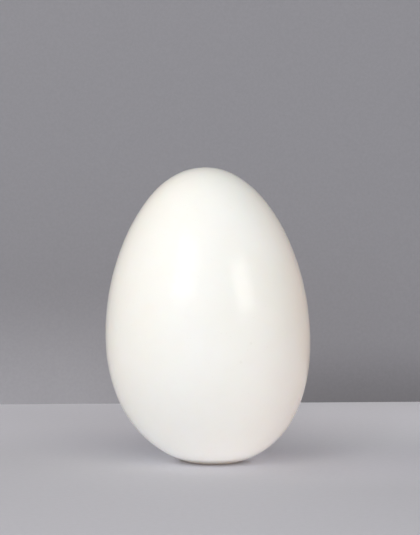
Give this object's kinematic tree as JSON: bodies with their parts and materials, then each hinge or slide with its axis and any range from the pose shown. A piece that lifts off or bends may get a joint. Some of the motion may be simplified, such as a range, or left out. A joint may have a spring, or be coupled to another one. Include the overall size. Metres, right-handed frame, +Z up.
{
  "type": "ostrich egg",
  "caption": "Whole ostrich egg with a smooth, satin, creamy-white shell, standing point up on a small flat spot at its blunt end.",
  "frame": {"origin": "middle of the flat spot that the egg stands on, in the plane of the surface under it", "axes": "+Z up from the flat spot towards the pointed end; the point leans 3.7 degrees towards -X; the egg is the same on both sides of the XZ plane, and is seen from the -Y side"},
  "size_m": [0.1146, 0.1146, 0.165],
  "materials": {
    "eggshell": "smooth satin eggshell, creamy white with faint mottling and fine pores"
  },
  "bodies": {
    "root": {"ostrich_egg": "eggshell"}
  },
  "joints": []
}
